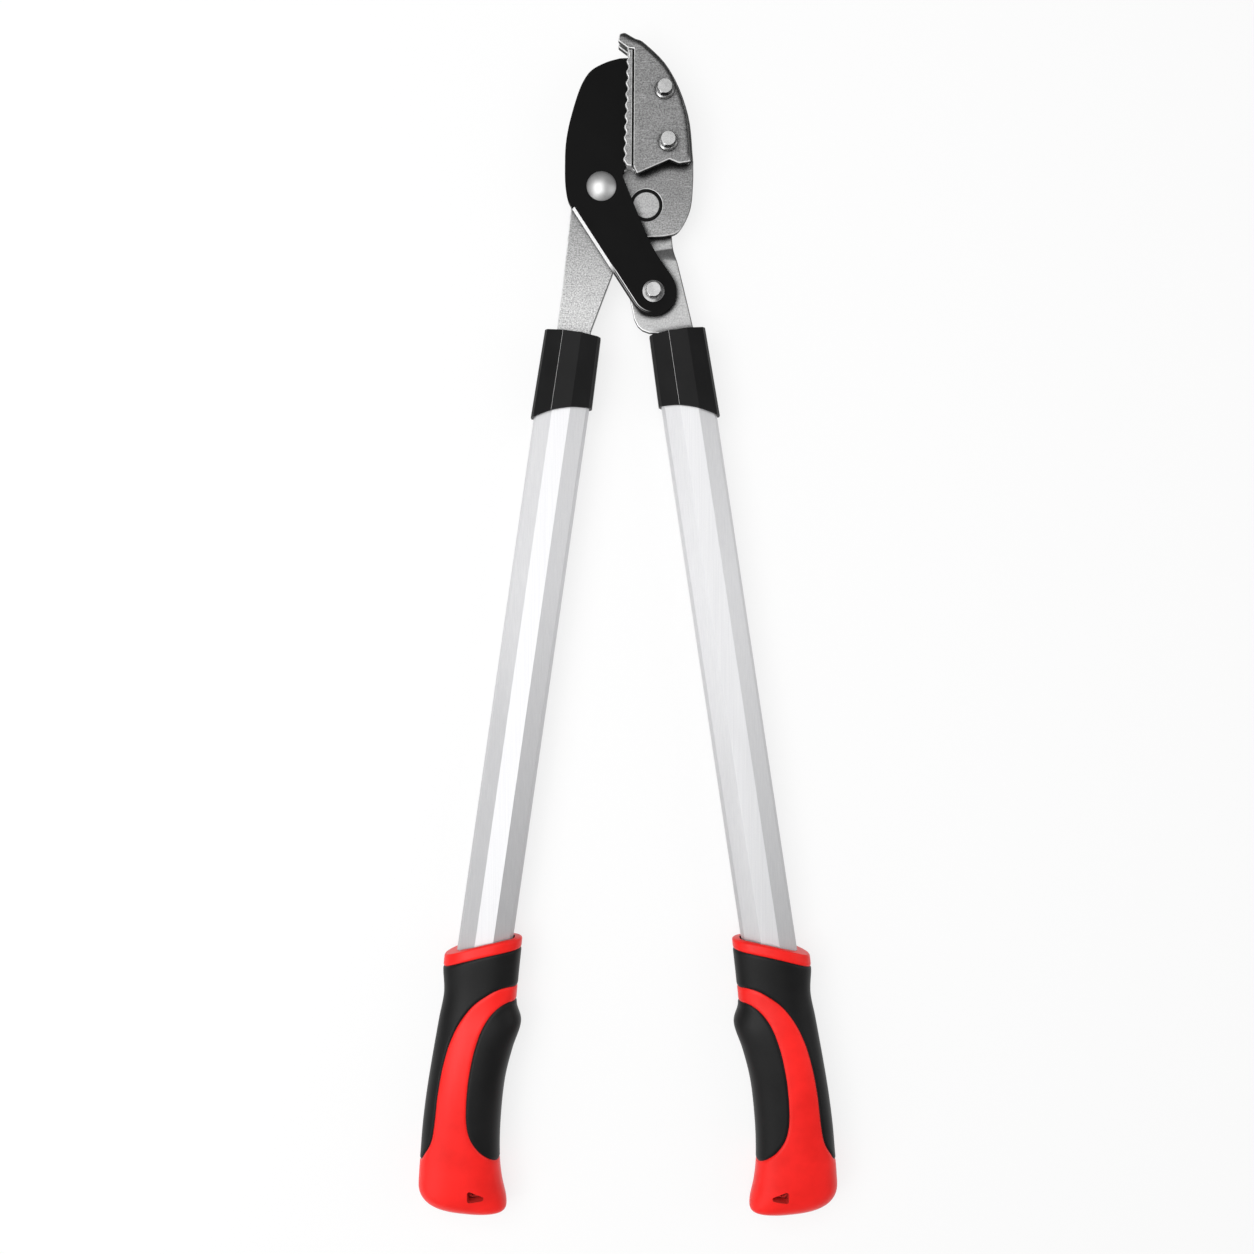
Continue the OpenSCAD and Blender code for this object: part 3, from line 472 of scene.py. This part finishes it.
# Pieces whose broken edges have a material of their own: worn bright, and on some painted light and shade by
# the way they look
WORN_OR_SHADED = {
    "anvil_strip": bright_edge, "anvil_cover": edge_lit_lower_left, "jaw_plate": edge_lit_lower_left,
    "right_tang": tang_edge, "anvil_bolts": bright_edge, "drive_bolt": bright_edge,
}
WELD_GAP = 0.001
FLAT_ANGLE = 0.5


def dress(name):
    """Gives a CAD node its material, and breaks its sharp edges with modifiers."""
    obj = nodes[name]
    mesh = obj.data
    mesh.materials.clear()
    mesh.materials.append(MATERIALS[name])
    if name not in EDGES:
        return
    width, angle = EDGES[name]
    mesh.shade_smooth()
    weld = obj.modifiers.new("weld", "WELD")
    weld.merge_threshold = WELD_GAP * MM
    flat = obj.modifiers.new("flat", "DECIMATE")
    flat.decimate_type = "DISSOLVE"
    flat.angle_limit = math.radians(FLAT_ANGLE)
    edge = obj.modifiers.new("edge", "BEVEL")
    edge.width = width * MM
    edge.segments = 3
    edge.limit_method = "ANGLE"
    edge.angle_limit = math.radians(angle)
    # The short edges of arcs and teeth would hold the width down
    edge.use_clamp_overlap = name not in FULL_WIDTH
    if name in WORN_OR_SHADED:
        mesh.materials.append(WORN_OR_SHADED[name])
        edge.material = 1
    even = obj.modifiers.new("even", "WEIGHTED_NORMAL")
    even.weight = 100
    even.keep_sharp = False


for node_name in MATERIALS:
    dress(node_name)


# Grips: the stations and the band of part.scad, on a fine grid
GRIP_START = 348.0
GRIP_SCALE = 174 / 175
HALF_DEPTH = 17.5
GRIP_POWER = 2.3
RIM_ARCH = 2.0
RIM_H = 7.4
RIM_RISE = math.tan(math.radians(21))
RIM_HALF = 24.0
RIM_ROUND = 1.6
# Each station: outer point, inner point, share of the half depth, and share of the rim's arch
STATIONS = [
    (-25.2, 8.8, 23.2, -8.4, 0.88, 1), (-24.6, 18.8, 23.6, 0.6, 0.89, 1), (-21.9, 34, 24.4, 20, 0.85, 0.5),
    (-22.6, 50, 25.6, 35, 0.86, 0), (-23, 62, 30.1, 47, 0.93, 0), (-23.5, 79, 27, 65, 0.98, 0),
    (-23.8, 99, 25, 86, 1, 0), (-23.4, 120, 26, 112, 0.99, 0), (-22.3, 138, 28.6, 134, 0.97, 0),
    (-21.4, 152, 32.2, 149, 0.94, 0), (-20, 163, 37, 162, 0.88, 0), (-15.5, 169.5, 37.2, 168.5, 0.74, 0),
    (-8, 173.4, 32, 171.8, 0.5, 0), (2, 175, 24, 173.3, 0.2, 0),
]
BAND_UPPER = [
    (44, 21), (24.2, 22.8), (18.4, 23.3), (11.6, 26), (4.9, 31), (-0.8, 36.6), (-5.2, 43.2), (-9, 50.9),
    (-11.6, 58.8), (-13.6, 67.7), (-15.2, 82), (-15.6, 98), (-15.1, 112), (-15, 122), (-15.8, 129),
    (-18.4, 136), (-23.7, 145.5), (-40, 156),
]
BAND_LOWER = [
    (44, 28), (25.4, 32.2), (20.8, 33), (16.1, 35.9), (11.6, 40.9), (8.3, 46.9), (6.1, 53.4), (4.6, 61),
    (3.5, 70), (3, 82), (3.4, 94), (4.6, 106), (6.4, 114.5), (9.4, 121.5), (13.8, 127), (19.4, 131.6),
    (28.6, 136.2), (44, 139),
]
# Half width of the plan that the soft panels are cut from
PLAN_HALF = 44
# Least slope of the distance in the plan, where the sides turn away from it
LEAST_SLOPE = 0.25
# The soft panels stand proud, and go on under the red body
SOFT_PROUD = 0.12
SOFT_LAP = 1.6
# At the seam each piece rolls in and then sinks: by a depth, from one distance inside the panels to another
RED_ROLL = (0.55, -1.3, 0.15)
RED_SINK = (1.2, -0.1, 1.2)
SOFT_ROLL = (0.62, 1.4, -0.15)
SOFT_SINK = (1.2, 0.1, -1.2)
# Hang hole: a bore between two three-cornered mouths
HANG_POINT = (15.6, 158.4)
HANG_MOUTH = [(-3.6, 4.0), (-2.4, -4.4), (11.4, -0.8)]
MOUTH_ROUND = 1.5
MOUTH_FLOOR = 6.5
HANG_D = 5.0
# Section of the tubes, and the hole for a tube in its grip
TUBE_W = 34.6
TUBE_T = 22.0
TUBE_FLAT = 11.5
TUBE_CORNER = 1.8
TUBE_LEVELS = (0.56, 0.27)
TUBE_GAP = 1.0
FLAT_GAP = 0.25
HOLE_ABOVE = 40
HOLE_BELOW = 5
CUT_REACH = 30
SHARP_ANGLE = 38
# Fineness of the grid, the band and the bore
ROUND = 224
STEPS = 18
BAND_STEPS = 6
BORE_STEPS = 40
TINY = 1e-6


def curve(points, steps):
    """Smooth curve through points, as in part.scad."""
    p = np.array(points, float)
    p = np.vstack([2 * p[0] - p[1], p, 2 * p[-1] - p[-2]])
    out = []
    for a, b, c, d in zip(p, p[1:], p[2:], p[3:]):
        for t in np.arange(steps) / steps:
            square = (2 * a - 5 * b + 4 * c - d) * t ** 2
            cube = (3 * b - a - 3 * c + d) * t ** 3
            out.append(0.5 * (2 * b + (c - a) * t + square + cube))
    out.append(p[-2])
    return np.array(out)


def on_grip(points):
    """Points across and down the grip, in the plan of the handle's frame."""
    points = np.asarray(points, float)
    return np.stack([points[..., 0], -GRIP_START - points[..., 1] * GRIP_SCALE], -1)


def bulge(c):
    """A circle's coordinate on the fuller section of the grip."""
    return np.sign(c) * np.abs(c) ** (2 / GRIP_POWER)


def dip(x, depth, start, end):
    """Smooth dip from 0 at the start to its full depth at the end."""
    t = np.clip((x - start) / (end - start), 0, 1)
    return depth * t * t * (3 - 2 * t)


def around(grid):
    """Differences from the point before to the point after, round each ring."""
    wrapped = np.concatenate([grid[:, -1:], grid, grid[:, :1]], 1)
    return wrapped[:, 2:] - wrapped[:, :-2]


def grip_grid():
    """Points of the grip's form as rings by points, in the handle's frame."""
    s = curve(STATIONS, STEPS)
    angle = -2 * np.pi * np.arange(ROUND) / ROUND
    side, lift = bulge(np.cos(angle)), bulge(np.sin(angle))
    outer, inner = on_grip(s[:, 0:2]), on_grip(s[:, 2:4])
    centre, half = (outer + inner) / 2, (inner - outer) / 2
    grid = np.zeros((len(s), ROUND, 3))
    grid[:, :, :2] = centre[:, None] + half[:, None] * side[None, :, None]
    grid[:, :, 1] += s[:, 5:6] * RIM_ARCH * (1 - side[None] ** 2)
    grid[:, :, 2] = s[:, 4:5] * HALF_DEPTH * lift[None]
    return grid


def round_rim(grid):
    """Draws the first rings in, so that the rim's upper edge is round."""
    first = grid[0].copy()
    flat = first - first.mean(0)
    flat[:, 1] = 0
    inward = -flat / np.linalg.norm(flat, axis=1, keepdims=True)
    rounded = grid.copy()
    for ring in rounded:
        along = np.linalg.norm(ring - first, axis=1).mean()
        if along < RIM_ROUND:
            t = 1 - along / RIM_ROUND
            ring += inward * RIM_ROUND * (1 - math.sqrt(max(0, 1 - t * t)))
    return rounded


def signed(points, outline):
    """Distance from points to a closed outline in the plan, above 0 inside."""
    best = np.full(len(points), np.inf)
    inside = np.zeros(len(points), bool)
    for p, q in zip(outline, np.roll(outline, -1, axis=0)):
        d = q - p
        if d @ d < TINY ** 2:
            continue
        t = np.clip(((points - p) @ d) / (d @ d), 0, 1)
        best = np.minimum(best, np.linalg.norm(points - p - t[:, None] * d, axis=1))
        if q[1] != p[1]:
            crossing = (p[1] > points[:, 1]) != (q[1] > points[:, 1])
            x = p[0] + (points[:, 1] - p[1]) / d[1] * d[0]
            inside ^= crossing & (points[:, 0] < x)
    return np.where(inside, best, -best)


def soft_distance(grid):
    """How far each grid point lies inside the soft panels, measured on the surface."""
    x = np.linspace(-PLAN_HALF, PLAN_HALF, PLAN_HALF + 1)
    arch = RIM_ARCH * np.maximum(0, 1 - (x / RIM_HALF) ** 2)
    rim = np.stack([x, x * RIM_RISE - GRIP_START - RIM_H + arch], 1)
    plan = grid[:, :, :2].reshape(-1, 2)
    upper = signed(plan, np.vstack([on_grip(curve(BAND_UPPER, BAND_STEPS)), rim]))
    lower = signed(plan, on_grip(curve(BAND_LOWER, BAND_STEPS)))
    d = np.maximum(upper, lower).reshape(grid.shape[:2])
    step_along = np.linalg.norm(np.gradient(grid, axis=0), axis=2)
    step_around = np.linalg.norm(around(grid) / 2, axis=2)
    slope_along = np.gradient(d, axis=0) / np.maximum(step_along, TINY)
    slope_around = around(d) / 2 / np.maximum(step_around, TINY)
    return d / np.clip(np.hypot(slope_along, slope_around), LEAST_SLOPE, 1)


def surface_normals(grid):
    """Outward normals of a grid."""
    n = np.cross(around(grid), np.gradient(grid, axis=0))
    n /= np.maximum(np.linalg.norm(n, axis=2, keepdims=True), TINY)
    outward = grid - grid.mean(1, keepdims=True)
    return n * np.sign((n * outward).sum(2, keepdims=True).mean(1, keepdims=True))


def to_part(points, handle):
    """Points of a handle's frame in the part's frame, in metres."""
    points = np.asarray(points, float) - (0, handle.shift, 0)
    turn = math.radians(-handle.splay)
    x = points[..., 0] * math.cos(turn) - points[..., 1] * math.sin(turn)
    y = points[..., 0] * math.sin(turn) + points[..., 1] * math.cos(turn)
    placed = [DATUM[0] + handle.x - handle.side * x, DATUM[1] - handle.drop + y, MID_Z + points[..., 2]]
    return np.stack(placed, -1) * MM


def new_object(name, verts, faces):
    """Object of a mesh with points in metres, linked into the scene."""
    mesh = bpy.data.meshes.new(name)
    mesh.from_pydata([tuple(v) for v in verts], [], faces)
    obj = bpy.data.objects.new(name, mesh)
    scene.collection.objects.link(obj)
    return obj


def clean(obj):
    """Drops a mesh's loose points and turns its faces outward."""
    bm = bmesh.new()
    bm.from_mesh(obj.data)
    loose = [v for v in bm.verts if not v.link_faces]
    bmesh.ops.delete(bm, geom=loose, context="VERTS")
    bmesh.ops.recalc_face_normals(bm, faces=bm.faces)
    bm.to_mesh(obj.data)
    bm.free()


def cap(ring):
    """Faces across a closed ring of points, from one side to the other."""
    n = len(ring)
    for i in range(n // 2):
        face = dict.fromkeys([ring[i], ring[(i + 1) % n], ring[(n - 1 - i) % n], ring[(n - i) % n]])
        if len(face) > 2:
            yield tuple(face)


def grid_mesh(name, points, keep=None, caps=False):
    """Smooth object of rings of points, whole or round the points to keep, with or without end caps."""
    rings, n = points.shape[:2]
    index = np.arange(rings * n).reshape(rings, n)
    after = np.roll(index, -1, axis=1)
    quads = np.stack([index[:-1], after[:-1], after[1:], index[1:]], 2).reshape(-1, 4)
    if keep is not None:
        quads = quads[keep.reshape(-1)[quads].any(1)]
    faces = [tuple(q) for q in quads]
    if caps:
        faces += [face[::-1] for face in cap(index[0])]
        faces += cap(index[-1])
    obj = new_object(name, points.reshape(-1, 3), faces)
    clean(obj)
    obj.data.shade_smooth()
    return obj


def prism(name, outline, low, high, handle):
    """Closed prism of a plan outline in a handle's frame, as a cutter."""
    n = len(outline)
    verts = to_part([(x, y, z) for z in (low, high) for x, y in outline], handle)
    faces = [tuple(range(n))[::-1], tuple(range(n, 2 * n))]
    faces += [(i, (i + 1) % n, n + (i + 1) % n, n + i) for i in range(n)]
    obj = new_object(name, verts, faces)
    clean(obj)
    return obj


def cut(obj, cutters):
    """Cuts an object's own mesh with cutters, and removes them."""
    for cutter in cutters:
        modifier = obj.modifiers.new("cut", "BOOLEAN")
        modifier.operation = "DIFFERENCE"
        modifier.solver = "EXACT"
        modifier.object = cutter
    bpy.context.view_layer.update()
    graph = bpy.context.evaluated_depsgraph_get()
    done = bpy.data.meshes.new_from_object(obj.evaluated_get(graph))
    obj.modifiers.clear()
    obj.data = done
    for cutter in cutters:
        bpy.data.objects.remove(cutter)


def rounded_corners(corners, radius, steps=8):
    """Outline of a polygon with its corners rounded."""
    corners = np.array(corners, float)
    out = []
    for a, b, c in zip(np.roll(corners, 1, axis=0), corners, np.roll(corners, -1, axis=0)):
        u, v = (a - b) / np.linalg.norm(a - b), (c - b) / np.linalg.norm(c - b)
        half = math.acos(np.clip(u @ v, -1, 1)) / 2
        mid = b + (u + v) / np.linalg.norm(u + v) * radius / math.sin(half)
        p, q = b + u * radius / math.tan(half) - mid, b + v * radius / math.tan(half) - mid
        turn = (math.pi - 2 * half) * np.sign(p[0] * q[1] - p[1] * q[0])
        for t in np.linspace(0, turn, steps + 1):
            cos, sin = math.cos(t), math.sin(t)
            out.append(mid + (p[0] * cos - p[1] * sin, p[0] * sin + p[1] * cos))
    return np.array(out)


def tube_hole():
    """Section of the hole for a tube, as points across and through the handle."""
    w, d, f = TUBE_W / 2 + TUBE_GAP, TUBE_T / 2 + TUBE_GAP, TUBE_FLAT / 2 + FLAT_GAP
    high, low = d * TUBE_LEVELS[0], d * TUBE_LEVELS[1]
    half = [(f, d), (w - TUBE_CORNER, high), (w, low), (w, -low), (w - TUBE_CORNER, -high), (f, -d)]
    return half + [(-x, z) for x, z in half[::-1]]


def hang_cutters(handle):
    """Cutters of the hang hole: a mouth on each face, and the bore."""
    centre = on_grip(HANG_POINT)
    angle = np.linspace(0, 2 * np.pi, BORE_STEPS, endpoint=False)
    mouth = centre + rounded_corners(HANG_MOUTH, MOUTH_ROUND)
    bore = centre + HANG_D / 2 * np.stack([np.cos(angle), np.sin(angle)], 1)
    return [
        prism("cut_front", mouth, MOUTH_FLOOR, CUT_REACH, handle),
        prism("cut_back", mouth, -CUT_REACH, -MOUTH_FLOOR, handle),
        prism("cut_bore", bore, -CUT_REACH, CUT_REACH, handle),
    ]


def make_grip(which):
    """Red body and black soft panels of one grip, on one form."""
    handle = HANDLES[which]
    body = "left_handle" if which == "left" else "right_handle"
    grid = round_rim(grip_grid())
    normal = surface_normals(grid)
    d = soft_distance(grid)
    red_at = -dip(d, *RED_ROLL) - dip(d, *RED_SINK)
    black_at = SOFT_PROUD - dip(d, *SOFT_ROLL) - dip(d, *SOFT_SINK)
    red_points = to_part(grid + normal * red_at[..., None], handle)
    black_points = to_part(grid + normal * black_at[..., None], handle)
    red = grid_mesh(which + "_grip_red", red_points, caps=True)
    black = grid_mesh(which + "_grip_soft", black_points, keep=d > -SOFT_LAP)

    cutters = hang_cutters(handle)
    # The hang hole's faces take the second slot, the painted shade inside the hole
    for cutter in cutters:
        for face in cutter.data.polygons:
            face.material_index = 1
    ends = (-GRIP_START + HOLE_ABOVE, -GRIP_START - HOLE_BELOW)
    hole = np.array([[(x, y, z) for x, z in tube_hole()] for y in ends])
    cutters.append(grid_mesh("cut_mouth", to_part(hole, handle), caps=True))
    for obj in cutters + [red]:
        obj.data.materials.append(red_plastic)
        obj.data.materials.append(hole_shade_red)
    cut(red, cutters)
    red.data.set_sharp_from_angle(angle=math.radians(SHARP_ANGLE))
    black.data.materials.append(soft_black)
    for obj, slot, stands_for in (
        (red, "red_plastic", which + "_grip_body"),
        (black, "black_rubber", which + "_grip_overmould"),
    ):
        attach(obj, body)
        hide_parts(stands_for)


for which_grip in HANDLES:
    make_grip(which_grip)


def shade_sheet(name, points, faces, body):
    """Flat black sheet of painted shade that rides on a body."""
    obj = new_object(name, np.array(points) * MM, faces)
    obj.data.materials.append(shade_black)
    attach(obj, body)


# Painted shade: a black sheet in the gap round the flush rivet
GAP_LEVEL = 20.02
GAP_RADII = (8.45, 10.55)
TURNS = 96
ring = [
    (HANDLE_PIVOT[0] + r * math.cos(t), HANDLE_PIVOT[1] + r * math.sin(t), GAP_LEVEL)
    for r in GAP_RADII for t in np.linspace(0, 2 * math.pi, TURNS, endpoint=False)
]
ring_faces = [(i, TURNS + i, TURNS + (i + 1) % TURNS, (i + 1) % TURNS) for i in range(TURNS)]
shade_sheet("pivot_gap_shade", ring, ring_faces, "left_handle")

# Painted shade: a black sheet in the groove between the serrated rib and the cover
GROOVE_LEVEL = 28.72
GROOVE = [(19.4, 14.0), (20.8, 13.6), (21.3, 88.5), (19.9, 88.3)]
groove = [(*from_datum(x, y), GROOVE_LEVEL) for x, y in GROOVE]
shade_sheet("groove_shade", groove, [(0, 1, 2, 3)], "left_handle")


# Floor and light, in metres and watts
FLOOR_HALF = 6
FLOOR_DROP = 0.0005
PAPER_TONE = 0.9
PAPER_GLOW = 0.78
SKY_STRENGTH = 0.29
# Each lamp: place, target, size and power
LAMPS = {
    "overhead": ((-0.75, 0.25, 1.6), (-0.75, 0.25, 0), (1.9, 1.9), 29.5),
    "lower_left": ((-1.6, -1.3, 1.1), (0, 0.1, 0), (1.2, 1.2), 5.5),
    "near_left": ((-0.69, -0.47, 1.2), (-0.1, -0.2, 0), (0.3, 0.3), 1.6),
    "right": ((1.8, 0.1, 1.0), (0.05, 0.1, 0), (1.2, 1.4), 6.5),
}


def paper():
    """White paper that glows where it is seen directly or in a reflection, and is plain for other light."""
    material = bpy.data.materials.new("paper")
    material.use_nodes = True
    tree = material.node_tree
    tree.nodes.clear()
    add, link = tree.nodes.new, tree.links.new
    plain = add("ShaderNodeBsdfDiffuse")
    plain.inputs["Color"].default_value = rgba(PAPER_TONE)
    glow = add("ShaderNodeEmission")
    glow.inputs["Color"].default_value = rgba(1)
    glowing = add("ShaderNodeMixShader")
    glowing.inputs["Fac"].default_value = PAPER_GLOW
    link(plain.outputs[0], glowing.inputs[1])
    link(glow.outputs[0], glowing.inputs[2])
    path = add("ShaderNodeLightPath")
    seen = add("ShaderNodeMath")
    seen.operation = "MAXIMUM"
    link(path.outputs["Is Camera Ray"], seen.inputs[0])
    link(path.outputs["Is Glossy Ray"], seen.inputs[1])
    pick = add("ShaderNodeMixShader")
    link(seen.outputs[0], pick.inputs["Fac"])
    link(plain.outputs[0], pick.inputs[1])
    link(glowing.outputs[0], pick.inputs[2])
    link(pick.outputs[0], add("ShaderNodeOutputMaterial").inputs["Surface"])
    return material


def lamp(name, at, target, size, power):
    """Area lamp turned towards a target."""
    data = bpy.data.lights.new(name, "AREA")
    data.shape = "RECTANGLE"
    data.size, data.size_y = size
    data.energy = power
    obj = bpy.data.objects.new(name, data)
    obj.location = at
    obj.rotation_euler = (Vector(target) - Vector(at)).to_track_quat("-Z", "Y").to_euler()
    scene.collection.objects.link(obj)


floor_corners = [(x * FLOOR_HALF, y * FLOOR_HALF, 0) for x, y in ((-1, -1), (1, -1), (1, 1), (-1, 1))]
floor = new_object("floor", floor_corners, [(0, 1, 2, 3)])
floor.location.z = -FLOOR_DROP
floor.data.materials.append(paper())

world = bpy.data.worlds.new("studio")
scene.world = world
world.use_nodes = True
sky = world.node_tree.nodes["Background"]
sky.inputs["Color"].default_value = rgba(1)
sky.inputs["Strength"].default_value = SKY_STRENGTH

for lamp_name, values in LAMPS.items():
    lamp(lamp_name, *values)
